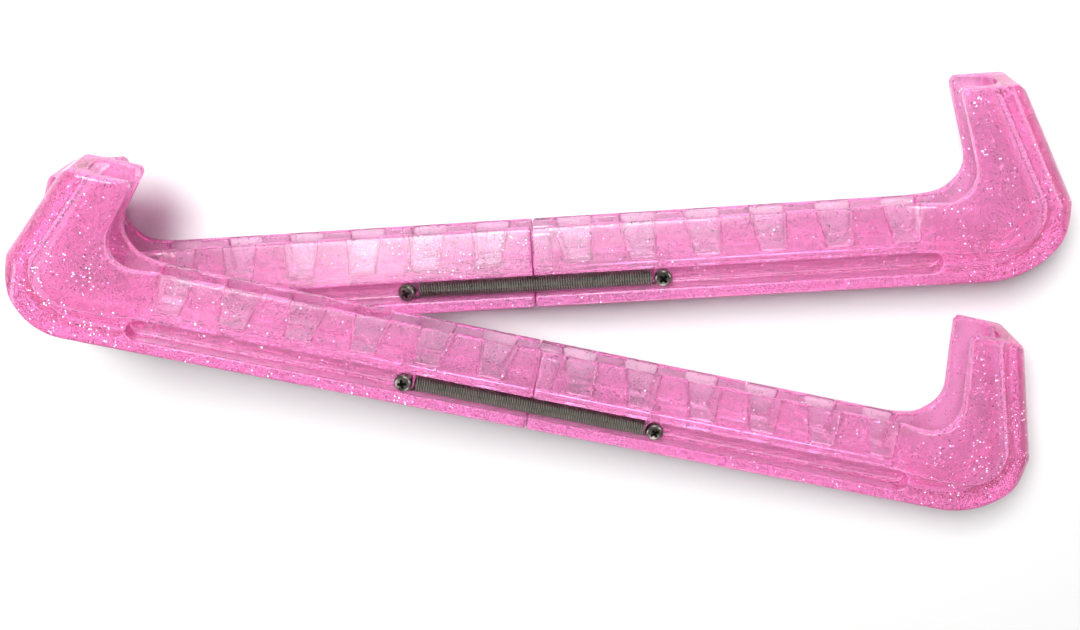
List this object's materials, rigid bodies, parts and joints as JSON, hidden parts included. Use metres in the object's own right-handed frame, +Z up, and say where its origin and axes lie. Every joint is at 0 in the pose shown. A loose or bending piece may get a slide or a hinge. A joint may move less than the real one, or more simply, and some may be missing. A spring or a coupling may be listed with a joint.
{
  "type": "ice skate blade guard pair",
  "caption": "Pair of translucent, spring-loaded ice-skate blade guards with hooked ends, lying on their sides, one resting across the other.",
  "frame": {"origin": "middle of the pair's footprint, on the table", "axes": "+X along the flat guard from toe to heel, +Y the way the flat guard's blade slot opens, +Z up from the table"},
  "size_m": [0.3, 0.1286, 0.0473],
  "materials": {
    "translucent_plastic": "translucent pink, moulded, with silver and dark glitter",
    "spring_steel": "dark wound steel wire",
    "screw_steel": "dark steel"
  },
  "bodies": {
    "flat_heel": {"flat_heel_shell": "translucent_plastic", "flat_upper_heel_screw": "screw_steel", "flat_under_heel_screw": "screw_steel", "flat_upper_spring": "spring_steel", "flat_under_spring": "spring_steel"},
    "flat_toe": {"flat_toe_shell": "translucent_plastic", "flat_upper_toe_screw": "screw_steel", "flat_under_toe_screw": "screw_steel"},
    "leaning_heel": {"leaning_heel_shell": "translucent_plastic", "leaning_upper_heel_screw": "screw_steel", "leaning_under_heel_screw": "screw_steel", "leaning_upper_spring": "spring_steel", "leaning_under_spring": "spring_steel"},
    "leaning_toe": {"leaning_toe_shell": "translucent_plastic", "leaning_upper_toe_screw": "screw_steel", "leaning_under_toe_screw": "screw_steel"}
  },
  "joints": [
    {"name": "flat_pull_apart", "type": "slide", "parent": "flat_heel", "child": "flat_toe", "axis": [-1, 0, 0], "range_m": [0, 0.03], "stiffness_N_per_m": 1000, "springref_m": -0.006, "deforming": ["flat_upper_spring", "flat_under_spring"]},
    {"name": "leaning_lift_off", "type": "slide", "parent": "flat_heel", "child": "leaning_heel", "axis": [0, 0, 1], "range_m": [0, 0.1]},
    {"name": "leaning_pull_apart", "type": "slide", "parent": "leaning_heel", "child": "leaning_toe", "axis": [-0.9466, 0.3094, 0.0907], "range_m": [0, 0.03], "stiffness_N_per_m": 1000, "springref_m": -0.006, "deforming": ["leaning_upper_spring", "leaning_under_spring"]}
  ]
}
